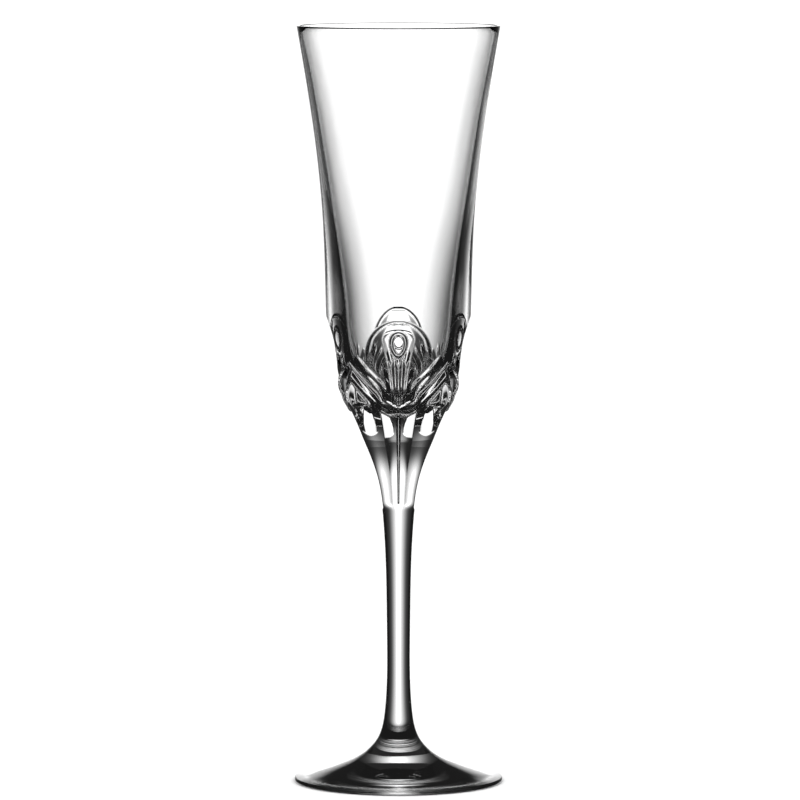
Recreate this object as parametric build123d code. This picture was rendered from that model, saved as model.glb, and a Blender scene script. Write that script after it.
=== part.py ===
from build123d import *
import os
from math import sqrt

# Cut-crystal champagne flute, millimetres, +Z up, standing on z = 0 with its axis on Z.
# Three gathers of glass, fused at two flat joints: the bowl, the stem and the foot.

# ---- driving dimensions ----
TOTAL_HEIGHT = 250.0
RIM_RADIUS = 33.6
RIM_WALL = 1.2
WAIST_RADIUS = 24.0          # bowl wall just above the cut crown
WAIST_Z = 157.0
CUP_FLOOR_Z = 122.0          # lowest point of the inside of the cup
BOWL_JOINT_Z = 114.0         # bowl to stem
BOWL_JOINT_RADIUS = 12.4
SHAFT_RADIUS = 3.85          # thinnest place of the stem
SHAFT_Z = 50.0
FOOT_JOINT_Z = 9.5           # stem to foot
FOOT_JOINT_RADIUS = 10.9
FOOT_RADIUS = 34.5
FOOT_EDGE = 1.3              # thickness of the foot at its rounded edge
FOOT_REST_RADIUS = 31.5      # inner radius of the flat ring that the foot stands on
FOOT_HOLLOW = 1.8            # rise of the underside at the centre

# ---- cut crown ----
SIDES = 4                    # medallions at 0, 90, 180 and 270 degrees, the rest between them
MEDALLION_TIP_Z = 125.4
MEDALLION_SHOULDER_Z = 136.5
MEDALLION_TOP_Z = 155.4
MEDALLION_HALF_WIDTH = 10.6
EGG_Z = 146.3                # incised egg-shaped ring on each medallion
EGG_HALF_WIDTH = 3.2
EGG_HALF_HEIGHT = 4.0
EGG_LINE = 1.1
EGG_DEPTH = 0.6
MITRE_DEPTH = 1.4            # slanting mitre cuts beside the lower half of each medallion
MITRE_HALF_WIDTH = 1.55
MITRE_LEAN = 47.0            # degrees from upright
PANEL_DISTANCE = 13.1        # upright flats midway between the medallions
PANEL_HALF_WIDTH = 3.4
PANEL_Z = 115.4
PANEL_TOP_Z = 125.8
FLUTE_RADIUS = 0.379         # hollow flutes under the medallions, as parts of the outer radius
FLUTE_DISTANCE = 1.059
FLUTE_TOP_Z = 122.6
FLUTE_END_Z = 90.0

REACH = 40.0                 # further out than any point of the glass


def at(radius, z):
    """A point of the half section at Y = 0."""
    return Vector(radius, 0, z)


def turned(*edges):
    """The solid of revolution of a closed half section."""
    return revolve(make_face(edges), Axis.Z)


def outer_wall():
    """Outside of the bowl blank, from the stem joint up to the rim."""
    return Spline(
        at(BOWL_JOINT_RADIUS, BOWL_JOINT_Z),
        at(17.0, 124.0),
        at(20.8, 131.0),
        at(22.9, 140.0),
        at(WAIST_RADIUS, WAIST_Z),
        at(25.1, 187.6),
        at(28.0, 215.5),
        at(RIM_RADIUS, TOTAL_HEIGHT),
    )


def cup_wall():
    """Inside of the cup, from the rim down to its rounded floor."""
    return Spline(
        at(RIM_RADIUS - RIM_WALL, TOTAL_HEIGHT),
        at(26.0, 217.0),
        at(22.0, 190.0),
        at(17.7, 157.0),
        at(13.6, 135.0),
        at(0, CUP_FLOOR_Z),
        tangents=[(-0.22, 0, -1), (-1, 0, 0)],
    )


def neck_side():
    """Outside of the stem, from the bowl joint down to the foot joint."""
    return Spline(
        at(BOWL_JOINT_RADIUS, BOWL_JOINT_Z),
        at(7.15, 100.5),
        at(5.1, 87.3),
        at(SHAFT_RADIUS, SHAFT_Z),
        at(4.45, 24.0),
        at(7.4, 13.3),
        at(FOOT_JOINT_RADIUS, FOOT_JOINT_Z),
    )


def outside_of(profile, half_width):
    """Everything further out than a profile in the XZ plane, over a width across Y."""
    low = profile @ 0
    high = profile @ 1
    side = make_face([
        profile,
        Polyline(high, at(REACH, high.Z), at(REACH, low.Z), low),
    ])
    return extrude(side, half_width, dir=(0, 1, 0), both=True)


def medallion_section(z, boss_radius, boss_half, edge_radius, edge_half):
    """Level section of what is cut away for a medallion: a round boss between two petal flats."""
    boss_x = sqrt(boss_radius**2 - boss_half**2)
    edge_x = sqrt(edge_radius**2 - edge_half**2)
    boss = ThreePointArc((boss_x, -boss_half, z), (boss_radius, 0, z), (boss_x, boss_half, z))
    outer = Polyline(
        (boss_x, boss_half, z),
        (edge_x, edge_half, z),
        (REACH, edge_half, z),
        (REACH, -edge_half, z),
        (edge_x, -edge_half, z),
        (boss_x, -boss_half, z),
    )
    return make_face([boss, outer])


def medallion_cut(deeper=0.0):
    """What is cut away for one medallion; deeper moves its face towards the axis."""
    shoulder = (MEDALLION_SHOULDER_Z, 19.6 - deeper, 3.3, 22.4 - deeper, MEDALLION_HALF_WIDTH)
    # the pointed shield below the shoulders
    lower = loft([
        medallion_section(MEDALLION_TIP_Z, 17.1 - deeper, 0.2, 17.3 - deeper, 0.5),
        medallion_section(130.8, 18.4 - deeper, 2.4, 20.8 - deeper, 6.3),
        medallion_section(*shoulder),
    ])
    # the arch above them, where the boss runs out into the wall
    upper = loft([
        medallion_section(*shoulder),
        medallion_section(144.0, 20.7 - deeper, 5.0, 23.4 - deeper, MEDALLION_HALF_WIDTH),
        medallion_section(149.5, 22.0 - deeper, 5.5, 23.8 - deeper, 9.0),
        medallion_section(152.7, 23.2 - deeper, 3.6, 24.0 - deeper, 5.6),
        medallion_section(MEDALLION_TOP_Z, 24.2 - deeper, 0.4, 24.3 - deeper, 0.9),
    ])
    return lower + upper


def egg(half_width, half_height):
    """Prism along X with an egg-shaped section, its narrow end down."""
    low = (0, 0, EGG_Z - half_height)
    high = (0, 0, EGG_Z + half_height)
    wide_z = EGG_Z + 0.18 * half_height
    line = Spline(low, (0, half_width, wide_z), high, (0, -half_width, wide_z), periodic=True)
    return extrude(make_face(line), REACH, dir=(1, 0, 0))


def egg_groove():
    """The ring incised in the medallion's boss."""
    ring = egg(EGG_HALF_WIDTH, EGG_HALF_HEIGHT) - egg(
        EGG_HALF_WIDTH - EGG_LINE, EGG_HALF_HEIGHT - EGG_LINE
    )
    return ring & medallion_cut(EGG_DEPTH)


def mitre_cut(azimuth, z, radius, lean):
    """A straight V cut across the wall, leaning to one side, deepest in the middle."""
    section = make_face(Polyline(
        (radius - MITRE_DEPTH, 0, 0),
        (radius + 3 * MITRE_DEPTH, 4 * MITRE_HALF_WIDTH, 0),
        (radius + 3 * MITRE_DEPTH, -4 * MITRE_HALF_WIDTH, 0),
        close=True,
    ))
    return Rot(0, 0, azimuth) * Pos(0, 0, z) * Rot(lean, 0, 0) * extrude(section, 9, both=True)


def flute_section(z, radius, outwards=0.0):
    """Level section of a hollow flute at a height where the glass has the given radius."""
    distance = FLUTE_DISTANCE * radius + outwards
    return Pos(distance, 0, z) * Circle(FLUTE_RADIUS * radius)


def around(shape, start=0.0):
    """The shape repeated at even steps about the axis."""
    return [Rot(0, 0, start + step * 360 / SIDES) * shape for step in range(SIDES)]


def make_bowl():
    rim = Line(at(RIM_RADIUS, TOTAL_HEIGHT), at(RIM_RADIUS - RIM_WALL, TOTAL_HEIGHT))
    axis = Polyline(at(0, CUP_FLOOR_Z), at(0, BOWL_JOINT_Z), at(BOWL_JOINT_RADIUS, BOWL_JOINT_Z))
    bowl = turned(outer_wall(), rim, cup_wall(), axis)

    bowl -= around(medallion_cut())
    bowl -= around(egg_groove())

    # three cuts, one below the other, rise on each side of every medallion
    for side in (-1, 1):
        for azimuth, z, radius in ((25, 136.2, 22.2), (31, 132.4, 21.4), (40, 129.0, 19.9)):
            bowl -= around(mitre_cut(side * azimuth, z, radius, side * MITRE_LEAN))

    panel = Line(at(PANEL_DISTANCE, PANEL_Z - 1), at(PANEL_DISTANCE + 0.5, PANEL_TOP_Z))
    bowl -= around(outside_of(panel, PANEL_HALF_WIDTH), 45)

    flute = loft([
        flute_section(BOWL_JOINT_Z - 0.5, 12.2),
        flute_section(118.0, 14.2),
        flute_section(FLUTE_TOP_Z - 1, 15.9),
        flute_section(FLUTE_TOP_Z + 0.8, 16.4, 5.6),
    ])
    bowl -= around(flute)
    return bowl


def make_stem():
    ends = Polyline(
        at(FOOT_JOINT_RADIUS, FOOT_JOINT_Z),
        at(0, FOOT_JOINT_Z),
        at(0, BOWL_JOINT_Z),
        at(BOWL_JOINT_RADIUS, BOWL_JOINT_Z),
    )
    stem = turned(neck_side(), ends)
    flute = loft([
        flute_section(FLUTE_END_Z, 5.6, 1.9),
        flute_section(FLUTE_END_Z + 3, 6.0),
        flute_section(100.5, 7.15),
        flute_section(107.0, 9.15),
        flute_section(BOWL_JOINT_Z + 0.5, BOWL_JOINT_RADIUS + 0.2),
    ])
    stem -= around(flute)
    return stem


def make_foot():
    edge_z = FOOT_EDGE / 2
    edge_r = FOOT_RADIUS - edge_z
    top = Spline(
        at(FOOT_JOINT_RADIUS, FOOT_JOINT_Z),
        at(14.0, 7.45),
        at(18.3, 5.5),
        at(28.0, 2.3),
        at(edge_r, FOOT_EDGE),
    )
    edge = ThreePointArc(at(edge_r, FOOT_EDGE), at(FOOT_RADIUS, edge_z), at(edge_r, 0))
    rest = Line(at(edge_r, 0), at(FOOT_REST_RADIUS, 0))
    hollow = TangentArc(at(0, FOOT_HOLLOW), at(FOOT_REST_RADIUS, 0), tangent=(1, 0, 0))
    middle = Polyline(at(0, FOOT_HOLLOW), at(0, FOOT_JOINT_Z), at(FOOT_JOINT_RADIUS, FOOT_JOINT_Z))
    return turned(top, edge, rest, hollow, middle)


NODES = {"bowl": make_bowl, "stem": make_stem, "foot": make_foot}

os.makedirs("parts", exist_ok=True)
for name, make in NODES.items():
    export_step(make(), f"parts/{name}.step")
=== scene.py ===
import math

import bpy
import numpy as np
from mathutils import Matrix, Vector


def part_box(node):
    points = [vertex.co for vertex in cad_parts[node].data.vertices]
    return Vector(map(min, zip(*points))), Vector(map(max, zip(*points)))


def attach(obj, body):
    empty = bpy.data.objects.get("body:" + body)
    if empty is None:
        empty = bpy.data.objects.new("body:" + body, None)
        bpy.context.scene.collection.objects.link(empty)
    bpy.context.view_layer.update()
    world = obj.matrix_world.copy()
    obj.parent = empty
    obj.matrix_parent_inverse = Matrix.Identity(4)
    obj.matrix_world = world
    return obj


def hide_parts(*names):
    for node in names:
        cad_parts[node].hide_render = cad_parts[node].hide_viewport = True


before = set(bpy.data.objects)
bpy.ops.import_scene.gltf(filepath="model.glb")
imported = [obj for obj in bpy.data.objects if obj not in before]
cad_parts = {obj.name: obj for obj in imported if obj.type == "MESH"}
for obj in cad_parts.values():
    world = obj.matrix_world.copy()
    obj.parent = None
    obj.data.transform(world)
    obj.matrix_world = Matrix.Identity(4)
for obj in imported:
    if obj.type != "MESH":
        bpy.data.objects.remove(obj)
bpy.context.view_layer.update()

MM = 0.001
TAU = 2 * math.pi

# ---------------------------------------------------------------- sizes from the frame
bowl_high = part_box("bowl")[1]
stem_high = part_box("stem")[1]
foot_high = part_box("foot")[1]

RIM_Z = bowl_high[2] / MM
RIM_R = bowl_high[0] / MM
BOWL_JOINT_Z = stem_high[2] / MM
FOOT_JOINT_Z = foot_high[2] / MM
FOOT_R = foot_high[0] / MM

# ---------------------------------------------------------------- the glass, in millimetres
RIM_WALL = 1.2
CUP_FLOOR_Z = 122.0
FOOT_EDGE = 1.3              # thickness of the foot at its rounded edge
FOOT_REST_R = 31.5           # inner radius of the flat ring that the foot stands on
FOOT_HOLLOW = 1.8            # rise of the underside at the centre
JOINT_R = 12.4               # bowl to stem
FOOT_JOINT_R = 10.9

# outlines, as (radius, height)
BOWL_OUTSIDE = [
    (JOINT_R, BOWL_JOINT_Z), (17.0, 124.0), (20.8, 131.0), (22.9, 140.0), (24.0, 157.0),
    (25.1, 187.6), (28.0, 215.5), (RIM_R, RIM_Z),
]
CUP_INSIDE = [
    (RIM_R - RIM_WALL, RIM_Z), (26.0, 217.0), (22.0, 190.0), (17.7, 157.0), (13.6, 135.0),
    (0.0, CUP_FLOOR_Z),
]
CUP_RIM_DIRECTION = (-0.22, -1)
CUP_FLOOR_DIRECTION = (-1, 0)
NECK_OUTSIDE = [
    (FOOT_JOINT_R, FOOT_JOINT_Z), (7.4, 13.3), (4.45, 24.0), (3.85, 50.0), (5.1, 87.3),
    (7.15, 100.5), (JOINT_R, BOWL_JOINT_Z),
]
FOOT_TOP = [
    (FOOT_R - FOOT_EDGE / 2, FOOT_EDGE), (28.0, 2.3), (18.3, 5.5), (14.0, 7.45),
    (FOOT_JOINT_R, FOOT_JOINT_Z),
]
CROWN_TOP_Z = 157.5          # the wall is round above this

# medallions: the boss's radius by height, then half widths across the face by height
MEDALLION_FACE = [(17.2, 125.4), (19.5, 136.0), (20.7, 144.0), (21.9, 149.2), (24.3, 155.4)]
SHIELD_Z = [125.4, 126.9, 128.2, 130.8, 133.5, 136.0, 140.0]
SHIELD_HALF = [0.0, 3.0, 5.2, 6.3, 8.2, 10.4, 14.0]
BOSS_Z = [126, 139, 141, 143, 146, 152]
BOSS_HALF = [1.5, 3.6, 4.1, 4.8, 5.4, 7.0]
BOSS_SHARE = 0.62            # most of the face's half width that the boss takes up
BORDER_STEP = 0.3            # groove that follows the arch
BORDER_DEPTH = 0.8
BORDER_START_Z = 142.0
BORDER_FULL_Z = 147.0

# the ring incised on the boss
EGG_Z = 146.3
EGG_HALF_WIDTH = 2.6
EGG_HALF_HEIGHT = 3.6
EGG_SWELL = 0.16             # how much wider the ring is above its middle
EGG_LINE = 1.25
EGG_DEPTH = 1.0

# the fan of upright cuts below the ring
FAN_PLACES = [1.65, 4.7]     # from the medallion's middle, at the top of the fan
FAN_SPREAD_Z = [126, 142]
FAN_SPREAD = [0.45, 1.0]
FAN_WIDTH_Z = [131, 138.5, 141.5]
FAN_WIDTH = [1.6, 1.5, 0.3]
FAN_DEPTH = 1.2
FAN_TOP_Z = 142.0

# three rows of mitre cuts that rise from beside each medallion's tip
ARM_SPAN = [(3.0, 12.0), (5.0, 30.0), (9.0, 30.0)]
ARM_START_Z = 127.4
ARM_PITCH = 5.7
ARM_RISE = 0.93
ARM_HALF = 2.1
ARM_DEPTH = 1.3
ARM_RUN_IN = 3.0
ARM_RUN_OUT = 3.5

# hollow flutes below the medallions, and the upright flats between them
FLUTE_HALF_ANGLE = math.radians(21)
FLUTE_DEPTH = 0.32           # as a part of the radius
FLUTE_ROUNDING = 1.8
FLUTE_END_Z = 90.0
FLUTE_RUN_OUT = 3.0
PANEL_TOP_ANGLE = [0, 12, 22, 40, 45]
PANEL_TOP_Z = [122.6, 122.3, 124.2, 125.8, 126.0]
PANEL_R = 13.1
PANEL_SLOPE = 0.05
PANEL_END_Z = 115.4
PANEL_HALF = 3.4

COLUMNS = 480                # vertices round a ring where the glass is cut
FEW = COLUMNS // 2           # and where it is round
ROW_STEP = 0.3               # height between rings in the cut crown


def spline(points, steps=24, ends=(None, None)):
    """Cubic spline through the points, evenly sampled between them; an end is natural unless
    its direction is given."""
    points = np.array(points, float)
    chord = np.linalg.norm(np.diff(points, axis=0), axis=1)
    count = len(points)
    matrix = np.zeros((count, count))
    right = np.zeros((count, 2))
    matrix[0, 0] = matrix[-1, -1] = 1
    for row, tangent, step in ((0, ends[0], chord[0]), (count - 1, ends[1], chord[-1])):
        if tangent is not None:
            sign = 1 if row == 0 else -1
            other = row + sign
            unit = np.array(tangent, float) / np.linalg.norm(tangent)
            slope = (points[other] - points[row]) / step
            matrix[row, row] = 2 * step
            matrix[row, other] = step
            right[row] = 6 * (slope - sign * unit)
    for i in range(1, count - 1):
        matrix[i, i - 1:i + 2] = chord[i - 1], 2 * (chord[i - 1] + chord[i]), chord[i]
        after = (points[i + 1] - points[i]) / chord[i]
        before = (points[i] - points[i - 1]) / chord[i - 1]
        right[i] = 6 * (after - before)
    bend = np.linalg.solve(matrix, right)
    out = []
    for i in range(count - 1):
        h = chord[i]
        t = np.linspace(0, h, steps, endpoint=False)[:, None]
        a = (points[i] * (h - t) + points[i + 1] * t) / h
        b = bend[i] * ((h - t) ** 3 / h - h * (h - t)) / 6
        c = bend[i + 1] * (t ** 3 / h - h * t) / 6
        out.append(a + b + c)
    out.append(points[-1:])
    return np.concatenate(out)


def radius_of(points):
    """Radius as a function of height along a spline that rises or falls all the way."""
    line = spline(points, 60)
    line = line[np.argsort(line[:, 1])]
    return lambda z: np.interp(z, line[:, 1], line[:, 0])


def ramp(value, low, high):
    """0 below low, 1 above high, smooth between."""
    t = np.clip((value - low) / (high - low), 0, 1)
    return t * t * (3 - 2 * t)


def wrap(angle, step):
    """Angle from the nearest multiple of step."""
    return (angle + step / 2) % step - step / 2


blank_r = radius_of(BOWL_OUTSIDE)
neck_r = radius_of(NECK_OUTSIDE)
face_r = radius_of(MEDALLION_FACE)


# ---------------------------------------------------------------- the cut crown
def hollow_flute(r, angle, amount):
    """Narrow hollow flutes below the medallions; amount 0 to 1 fades them out."""
    t = np.clip(np.abs(wrap(angle, TAU / 4)) / FLUTE_HALF_ANGLE, 0, 1)
    return r * (1 - FLUTE_DEPTH * amount * (1 - t ** FLUTE_ROUNDING))


def medallion(r, angle, z):
    """Arched medallion: a smooth boss between two petal cuts, an egg-shaped ring incised on the
    boss and a fan of mitre cuts below it."""
    turn = wrap(angle, TAU / 4)
    low, high = MEDALLION_FACE[0][1], MEDALLION_FACE[-1][1]
    boss_r = face_r(np.clip(z, low, high))
    across = np.abs(r * np.sin(turn))
    edge = np.sqrt(np.clip(r ** 2 - boss_r ** 2, 0.01, None))
    boss = np.minimum(np.interp(z, BOSS_Z, BOSS_HALF), BOSS_SHARE * edge)
    petal = np.clip((across - boss) / (edge - boss), 0, 1)
    face = boss_r + np.clip(r - boss_r, 0, None) * petal
    border = np.clip(1 - np.abs(r - face - BORDER_STEP) / BORDER_STEP, 0, 1)
    face = face - BORDER_DEPTH * border * ramp(z, BORDER_START_Z, BORDER_FULL_Z)

    t = (z - EGG_Z) / EGG_HALF_HEIGHT
    e = np.hypot(across / (EGG_HALF_WIDTH * (1 + EGG_SWELL * t)), t)
    off = np.abs(e - 1) * EGG_HALF_WIDTH / (EGG_LINE / 2)
    face = face - EGG_DEPTH * np.clip(1 - off, 0, 1)

    wide = np.interp(z, FAN_WIDTH_Z, FAN_WIDTH)
    spread = np.interp(z, FAN_SPREAD_Z, FAN_SPREAD)
    fan = np.zeros_like(face)
    for place in FAN_PLACES:
        cut = np.clip(1 - np.abs(across - place * spread) / wide, 0, 1)
        fan = np.maximum(fan, FAN_DEPTH * wide / FAN_WIDTH[0] * cut)
    face = face - fan * (1 - ramp(z, FAN_TOP_Z - 1.5, FAN_TOP_Z))

    half = np.interp(z, SHIELD_Z, SHIELD_HALF)
    inside = 1 - ramp(across - half, -0.3, 0.2)
    return r * (1 - inside) + np.minimum(r, face) * inside


def arms(r, angle, z):
    """Broad mitre cuts that rise from beside each medallion's tip."""
    aside = np.abs(r * wrap(angle, TAU / 4))
    out = r
    for row, (start, end) in enumerate(ARM_SPAN):
        line = z - ARM_START_Z + row * ARM_PITCH - ARM_RISE * aside
        cut = ARM_DEPTH * np.clip(1 - np.abs(line) / ARM_HALF, 0, 1)
        run_in = ramp(aside, start, start + ARM_RUN_IN)
        run_out = 1 - ramp(aside, end, end + ARM_RUN_OUT)
        out = out - cut * run_in * run_out
    return out


def crown(angle, z):
    """Outer radius of the bowl below its smooth wall: flutes and flats, and above them the
    medallions and mitre cuts."""
    r = blank_r(z)
    cut = arms(medallion(r, angle, z), angle, z)

    body = hollow_flute(r, angle, 1.0)
    from_panel = wrap(angle + TAU / 8, TAU / 4)
    panel = (PANEL_R + PANEL_SLOPE * (z - PANEL_END_Z)) / np.cos(from_panel)
    beside = ramp(np.abs(body * np.sin(from_panel)), PANEL_HALF - 0.1, PANEL_HALF + 0.3)
    body = np.minimum(body, panel * (1 - beside) + body * beside)

    aside = np.abs(np.degrees(wrap(angle, TAU / 4)))
    top = np.interp(aside, PANEL_TOP_ANGLE, PANEL_TOP_Z)
    above = ramp(z, top - 0.2, top + 0.9)
    return body * (1 - above) + cut * above


def neck(angle, z):
    """Outer radius of the stem, its flutes running out above the round shaft."""
    amount = ramp(z, FLUTE_END_Z, FLUTE_END_Z + FLUTE_RUN_OUT)
    return hollow_flute(neck_r(z), angle, amount)


# ---------------------------------------------------------------- meshes
def ring_points(r, z, columns):
    """One ring of vertices; r may be a number or one radius per column."""
    angle = np.arange(columns) * TAU / columns
    r = np.broadcast_to(r, (columns,))
    # angle 0 faces -Y, the front
    return np.stack([r * np.sin(angle), -r * np.cos(angle), np.full(columns, z)], 1) * MM


class Shell:
    """A closed mesh built ring by ring. A face's kind is its material: 0 for a wall, 1 for a
    face inside a fused joint."""

    def __init__(self):
        self.verts = []
        self.faces = []
        self.kinds = []
        self.total = 0

    def add(self, points):
        start = self.total
        self.verts.append(points)
        self.total += len(points)
        return start, len(points)

    def pole(self, z):
        return self.add(np.array([[0, 0, z * MM]]))

    def ring(self, r, z, columns):
        return self.add(ring_points(r, z, columns))

    def bridge(self, low, high, kind=0):
        """Faces between two rings, or a ring and a pole; one ring may have half as many points."""
        (a, n), (b, m) = low, high
        if n == m:
            for i in range(n):
                j = (i + 1) % n
                self.faces.append((a + i, a + j, b + j, b + i))
                self.kinds.append(kind)
        elif n == 1:
            for i in range(m):
                self.faces.append((a, b + (i + 1) % m, b + i))
                self.kinds.append(kind)
        elif m == 1:
            for i in range(n):
                self.faces.append((a + i, a + (i + 1) % n, b))
                self.kinds.append(kind)
        elif n == 2 * m:
            for i in range(m):
                j = (i + 1) % m
                p, q, s = a + 2 * i, a + 2 * i + 1, a + (2 * i + 2) % n
                self.faces += [(p, q, b + i), (q, b + j, b + i), (q, s, b + j)]
                self.kinds += [kind] * 3
        elif m == 2 * n:
            for i in range(n):
                j = (i + 1) % n
                p, q, s = b + 2 * i, b + 2 * i + 1, b + (2 * i + 2) % m
                self.faces += [(a + i, q, p), (a + i, a + j, q), (a + j, s, q)]
                self.kinds += [kind] * 3
        else:
            raise ValueError("rings don't match")

    def build(self, name, materials):
        mesh = bpy.data.meshes.new(name)
        mesh.from_pydata(np.concatenate(self.verts).tolist(), [], self.faces)
        for material in materials:
            mesh.materials.append(material)
        mesh.polygons.foreach_set("material_index", self.kinds)
        mesh.polygons.foreach_set("use_smooth", [True] * len(self.faces))
        mesh.update()
        # the fused joint faces meet the walls in a sharp edge
        edge_kinds = {}
        for polygon in mesh.polygons:
            for key in polygon.edge_keys:
                edge_kinds.setdefault(key, set()).add(self.kinds[polygon.index])
        sharp = [len(edge_kinds[edge.key]) > 1 for edge in mesh.edges]
        attribute = mesh.attributes.new("sharp_edge", "BOOLEAN", "EDGE")
        attribute.data.foreach_set("value", sharp)
        mesh.validate()
        piece = bpy.data.objects.new(name, mesh)
        bpy.context.scene.collection.objects.link(piece)
        return piece


def make_bowl(materials):
    shell = Shell()
    angle = np.arange(COLUMNS) * TAU / COLUMNS

    centre = shell.pole(BOWL_JOINT_Z)
    crown_rings = []
    heights = np.arange(BOWL_JOINT_Z, CROWN_TOP_Z, ROW_STEP)
    for z in heights:
        crown_rings.append(shell.ring(crown(angle, np.full(COLUMNS, z)), z, COLUMNS))
    inner = shell.ring(JOINT_R * 0.5, BOWL_JOINT_Z, COLUMNS // 4)
    outer = shell.ring(JOINT_R * 0.75, BOWL_JOINT_Z, FEW)
    shell.bridge(centre, inner, 1)
    shell.bridge(inner, outer, 1)
    shell.bridge(outer, crown_rings[0], 1)
    for low, high in zip(crown_rings, crown_rings[1:]):
        shell.bridge(low, high)

    lip = RIM_WALL / 2
    rings = []
    for z in np.linspace(heights[-1] + 1.0, RIM_Z - lip, 60):
        rings.append(shell.ring(blank_r(z), z, FEW))
    # rounded lip
    for turn in np.linspace(0, math.pi, 9)[1:-1]:
        r = RIM_R - lip + lip * math.cos(turn)
        rings.append(shell.ring(r, RIM_Z - lip + lip * math.sin(turn), FEW))
    inside = spline(CUP_INSIDE, 16, ends=(CUP_RIM_DIRECTION, CUP_FLOOR_DIRECTION))
    inside = inside[inside[:, 1] < RIM_Z - lip * 1.05]
    for r, z in inside[:-1]:
        rings.append(shell.ring(r, z, FEW))
    shell.bridge(crown_rings[-1], rings[0])
    for low, high in zip(rings, rings[1:]):
        shell.bridge(low, high)
    shell.bridge(rings[-1], shell.pole(CUP_FLOOR_Z))
    return shell.build("bowl_glass", materials)


def make_stem(materials):
    shell = Shell()
    angle = np.arange(COLUMNS) * TAU / COLUMNS

    centre = shell.pole(FOOT_JOINT_Z)
    middle = shell.ring(FOOT_JOINT_R / 2, FOOT_JOINT_Z, FEW)
    shell.bridge(centre, middle, 1)
    shaft = spline(NECK_OUTSIDE, 26)
    shaft = shaft[shaft[:, 1] < FLUTE_END_Z - 1.5]
    rings = []
    for r, z in shaft:
        rings.append(shell.ring(r, z, FEW))
    shell.bridge(middle, rings[0], 1)

    for z in np.linspace(FLUTE_END_Z - 1, BOWL_JOINT_Z, 90)[:-1]:
        rings.append(shell.ring(neck(angle, np.full(COLUMNS, z)), z, COLUMNS))
    # the last ring is the bowl's first, so that the walls meet
    top = crown(angle, np.full(COLUMNS, BOWL_JOINT_Z))
    rings.append(shell.ring(top, BOWL_JOINT_Z, COLUMNS))
    for low, high in zip(rings, rings[1:]):
        shell.bridge(low, high)
    outer = shell.ring(JOINT_R * 0.75, BOWL_JOINT_Z, FEW)
    inner = shell.ring(JOINT_R * 0.5, BOWL_JOINT_Z, COLUMNS // 4)
    shell.bridge(rings[-1], outer, 1)
    shell.bridge(outer, inner, 1)
    shell.bridge(inner, shell.pole(BOWL_JOINT_Z), 1)
    return shell.build("stem_glass", materials)


def make_foot(materials):
    shell = Shell()
    under = shell.pole(FOOT_HOLLOW)
    rings = []
    hollow_r = (FOOT_REST_R ** 2 + FOOT_HOLLOW ** 2) / (2 * FOOT_HOLLOW)
    for r in np.linspace(0, FOOT_REST_R, 40)[1:]:
        z = FOOT_HOLLOW - (hollow_r - math.sqrt(hollow_r ** 2 - r ** 2))
        rings.append(shell.ring(r, max(z, 0.0), FEW))
    edge = FOOT_EDGE / 2
    for turn in np.linspace(-math.pi / 2, math.pi / 2, 13):
        r = FOOT_R - edge + edge * math.cos(turn)
        rings.append(shell.ring(r, edge + edge * math.sin(turn), FEW))
    for r, z in spline(FOOT_TOP, 20)[1:]:
        rings.append(shell.ring(r, z, FEW))
    shell.bridge(under, rings[0])
    for low, high in zip(rings, rings[1:]):
        shell.bridge(low, high)
    middle = shell.ring(FOOT_JOINT_R / 2, FOOT_JOINT_Z, FEW)
    shell.bridge(rings[-1], middle, 1)
    shell.bridge(middle, shell.pole(FOOT_JOINT_Z), 1)
    return shell.build("foot_glass", materials)


# ---------------------------------------------------------------- materials
STRIAE_SCALE = (60, 60, 14)
STRIAE_STRENGTH = 0.6
STRIAE_HEIGHT = 0.0003
WEAR_HEIGHT = 0.0005
WEAR_ROUGHNESS = 0.35
SCRATCH_SCALE = 900.0


def crystal():
    """Clear crystal: faint drawn striae in the glass, and fine wear where the foot stands."""
    material = bpy.data.materials.new("crystal")
    material.use_nodes = True
    tree = material.node_tree
    shader = tree.nodes["Principled BSDF"]
    shader.inputs["Base Color"].default_value = (0.99, 0.99, 0.99, 1)
    shader.inputs["IOR"].default_value = 1.52
    shader.inputs["Transmission Weight"].default_value = 1.0

    place = tree.nodes.new("ShaderNodeTexCoord")
    stretch = tree.nodes.new("ShaderNodeMapping")
    stretch.inputs["Scale"].default_value = STRIAE_SCALE
    striae = tree.nodes.new("ShaderNodeTexNoise")
    striae.inputs["Scale"].default_value = 1.0
    striae.inputs["Detail"].default_value = 1.5
    bump = tree.nodes.new("ShaderNodeBump")
    bump.inputs["Strength"].default_value = STRIAE_STRENGTH
    bump.inputs["Distance"].default_value = STRIAE_HEIGHT
    tree.links.new(place.outputs["Object"], stretch.inputs["Vector"])
    tree.links.new(stretch.outputs["Vector"], striae.inputs["Vector"])
    tree.links.new(striae.outputs["Fac"], bump.inputs["Height"])
    tree.links.new(bump.outputs["Normal"], shader.inputs["Normal"])

    # fine scratches on the standing ring, none above WEAR_HEIGHT
    height = tree.nodes.new("ShaderNodeSeparateXYZ")
    near_table = tree.nodes.new("ShaderNodeMapRange")
    near_table.inputs["From Min"].default_value = 0.0
    near_table.inputs["From Max"].default_value = WEAR_HEIGHT
    near_table.inputs["To Min"].default_value = WEAR_ROUGHNESS
    near_table.inputs["To Max"].default_value = 0.0
    scratches = tree.nodes.new("ShaderNodeTexNoise")
    scratches.inputs["Scale"].default_value = SCRATCH_SCALE
    worn = tree.nodes.new("ShaderNodeMath")
    worn.operation = "MULTIPLY"
    tree.links.new(place.outputs["Object"], height.inputs[0])
    tree.links.new(height.outputs["Z"], near_table.inputs["Value"])
    tree.links.new(place.outputs["Object"], scratches.inputs["Vector"])
    tree.links.new(near_table.outputs["Result"], worn.inputs[0])
    tree.links.new(scratches.outputs["Fac"], worn.inputs[1])
    tree.links.new(worn.outputs["Value"], shader.inputs["Roughness"])
    return material


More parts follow.
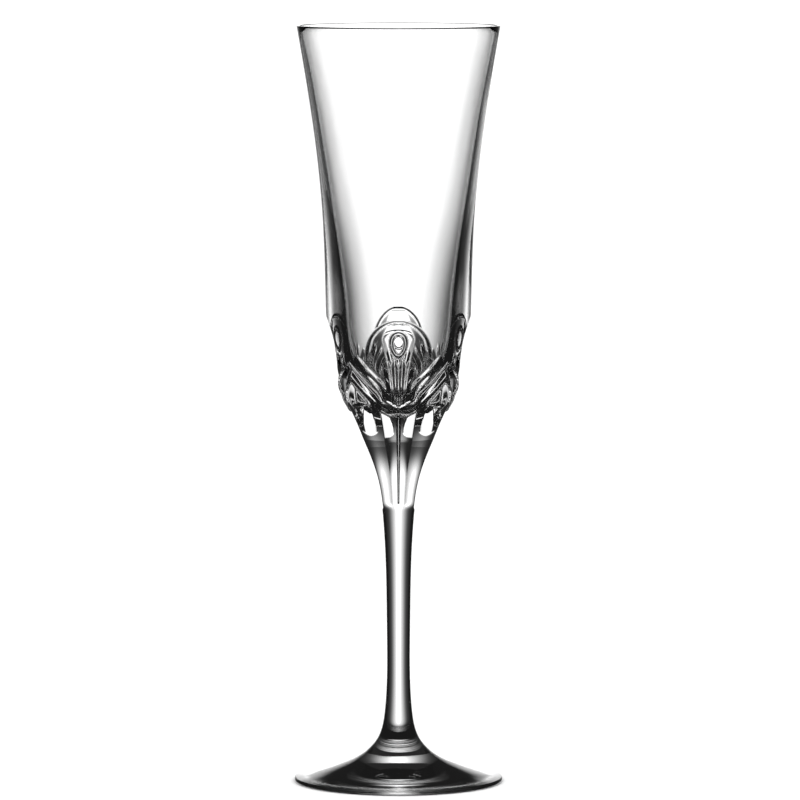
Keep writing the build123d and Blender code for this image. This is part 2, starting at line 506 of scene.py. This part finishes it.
def fused():
    """The face inside a fused joint: the glass runs through it with no surface."""
    material = bpy.data.materials.new("fused_joint")
    material.use_nodes = True
    tree = material.node_tree
    tree.nodes.remove(tree.nodes["Principled BSDF"])
    clear = tree.nodes.new("ShaderNodeBsdfTransparent")
    tree.links.new(clear.outputs[0], tree.nodes["Material Output"].inputs["Surface"])
    return material


glass = [crystal(), fused()]
for node, make in (("bowl", make_bowl), ("stem", make_stem), ("foot", make_foot)):
    piece = make(glass)
    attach(piece, "root")
    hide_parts(node)

# ---------------------------------------------------------------- camera
CAMERA_DISTANCE = 2.058
CAMERA_HEIGHT = 0.308
FRAME_WIDTH = 0.264          # seen at the glass's distance
SENSOR_WIDTH = 36
AIM_Z = 0.1265
AIM_X = 0.0005

camera_data = bpy.data.cameras.new("camera")
camera = bpy.data.objects.new("camera", camera_data)
bpy.context.scene.collection.objects.link(camera)
camera.location = (AIM_X, -CAMERA_DISTANCE, CAMERA_HEIGHT)
pitch = math.atan2(CAMERA_HEIGHT - AIM_Z, CAMERA_DISTANCE)
camera.rotation_euler = (math.pi / 2 - pitch, 0, 0)
reach = math.hypot(CAMERA_DISTANCE, CAMERA_HEIGHT - AIM_Z)
camera_data.sensor_width = SENSOR_WIDTH
camera_data.lens = SENSOR_WIDTH * reach / FRAME_WIDTH
bpy.context.scene.camera = camera


# ---------------------------------------------------------------- stage
def emitter(name, strength):
    """A plain light-giving material; returns the material and its emission node."""
    material = bpy.data.materials.new(name)
    material.use_nodes = True
    tree = material.node_tree
    tree.nodes.remove(tree.nodes["Principled BSDF"])
    light = tree.nodes.new("ShaderNodeEmission")
    light.inputs["Strength"].default_value = strength
    tree.links.new(light.outputs[0], tree.nodes["Material Output"].inputs["Surface"])
    return material, light


def staged(name, verts, faces, material):
    """A stage mesh: floor or studio, never part of the object."""
    mesh = bpy.data.meshes.new(name)
    mesh.from_pydata(verts, [], faces)
    mesh.materials.append(material)
    thing = bpy.data.objects.new(name, mesh)
    bpy.context.scene.collection.objects.link(thing)
    return thing


def only_seen_through_glass(thing):
    """Leaves the thing visible in reflections and through the glass only."""
    thing.visible_camera = False
    thing.visible_diffuse = False
    thing.visible_shadow = False


# The lit backdrop: white behind the glass and dark all round, fading evenly to the sides and
# abruptly above and below. It is parented to the camera, so this light follows the camera.
BACKDROP_DISTANCE = 20.0
BACKDROP_STRENGTH = 1.5
BACKDROP_RISE = 29.0
BACKDROP_ABRUPTNESS = 5.0
BACKDROP_FADE = [            # degrees aside, brightness
    (3, 1.0), (5.5, 0.85), (8, 0.65), (11, 0.52), (14.5, 0.36), (18, 0.23), (22, 0.12),
    (26, 0.058), (31, 0.03), (40, 0.014),
]

backdrop_material, backdrop_light = emitter("backdrop_light", BACKDROP_STRENGTH)
tree = backdrop_material.node_tree
place = tree.nodes.new("ShaderNodeTexCoord")
apart = tree.nodes.new("ShaderNodeSeparateXYZ")
lift = tree.nodes.new("ShaderNodeMath")
lift.operation = "POWER"
lift.inputs[1].default_value = BACKDROP_ABRUPTNESS
rise = tree.nodes.new("ShaderNodeMath")
rise.operation = "MULTIPLY"
rise.inputs[1].default_value = BACKDROP_RISE
joined = tree.nodes.new("ShaderNodeCombineXYZ")
spread = tree.nodes.new("ShaderNodeVectorMath")
spread.operation = "LENGTH"
fade = tree.nodes.new("ShaderNodeValToRGB")
tree.links.new(place.outputs["Object"], apart.inputs[0])
tree.links.new(apart.outputs["X"], joined.inputs["X"])
tree.links.new(apart.outputs["Y"], lift.inputs[0])
tree.links.new(lift.outputs["Value"], rise.inputs[0])
tree.links.new(rise.outputs["Value"], joined.inputs["Y"])
tree.links.new(joined.outputs["Vector"], spread.inputs[0])
tree.links.new(spread.outputs["Value"], fade.inputs["Fac"])
tree.links.new(fade.outputs["Color"], backdrop_light.inputs["Color"])
fade.color_ramp.interpolation = "B_SPLINE"
stops = fade.color_ramp.elements
while len(stops) < len(BACKDROP_FADE):
    stops.new(1.0)
for stop, (degrees, level) in zip(stops, BACKDROP_FADE):
    stop.position = math.tan(math.radians(degrees))
    stop.color = (level, level, level, 1)

backdrop = staged("backdrop", [(-1, -1, 0), (1, -1, 0), (1, 1, 0), (-1, 1, 0)],
                  [(0, 1, 2, 3)], backdrop_material)
backdrop.parent = camera
backdrop.scale = (BACKDROP_DISTANCE, BACKDROP_DISTANCE, 1)
backdrop.location.z = -(reach + BACKDROP_DISTANCE)
only_seen_through_glass(backdrop)

# the dim rest of the studio
ROOM_HALF = 40
ROOM_LEVEL = 0.01
room_material, room_light = emitter("studio_dimness", 1.0)
room_light.inputs["Color"].default_value = (ROOM_LEVEL, ROOM_LEVEL, ROOM_LEVEL, 1)
sides = (-ROOM_HALF, ROOM_HALF)
corners = [(x, y, z) for z in sides for y in sides for x in sides]
walls = [(0, 1, 3, 2), (4, 6, 7, 5), (0, 4, 5, 1), (2, 3, 7, 6), (0, 2, 6, 4), (1, 5, 7, 3)]
room = staged("studio", corners, walls, room_material)
only_seen_through_glass(room)

# the white that the camera sees round the glass
WORLD_STRENGTH = 1.3
world = bpy.data.worlds.new("studio")
bpy.context.scene.world = world
world.use_nodes = True
background = world.node_tree.nodes["Background"]
background.inputs["Color"].default_value = (1, 1, 1, 1)
background.inputs["Strength"].default_value = WORLD_STRENGTH
world.cycles_visibility.glossy = False
world.cycles_visibility.transmission = False

FLOOR_HALF = 6
FLOOR_COLOUR = (0.95, 0.95, 0.95, 1)
FLOOR_ROUGHNESS = 0.9
FLOOR_GAP = 0.0002           # below the foot, so that the two faces don't coincide
floor_material = bpy.data.materials.new("pale_floor")
floor_material.use_nodes = True
floor_shader = floor_material.node_tree.nodes["Principled BSDF"]
floor_shader.inputs["Base Color"].default_value = FLOOR_COLOUR
floor_shader.inputs["Roughness"].default_value = FLOOR_ROUGHNESS
floor_corners = [
    (-FLOOR_HALF, -FLOOR_HALF, 0), (FLOOR_HALF, -FLOOR_HALF, 0),
    (FLOOR_HALF, FLOOR_HALF, 0), (-FLOOR_HALF, FLOOR_HALF, 0),
]
floor = staged("floor", floor_corners, [(0, 1, 2, 3)], floor_material)
floor.location.z = -FLOOR_GAP
floor.visible_transmission = False
floor.visible_glossy = False

# light goes through many faces of the cut crown
MANY_BOUNCES = 24
scene = bpy.context.scene
scene.view_settings.view_transform = "Standard"
scene.cycles.max_bounces = MANY_BOUNCES
scene.cycles.transmission_bounces = MANY_BOUNCES
scene.cycles.glossy_bounces = 16
scene.cycles.transparent_max_bounces = MANY_BOUNCES
scene.cycles.caustics_reflective = False
scene.cycles.caustics_refractive = False
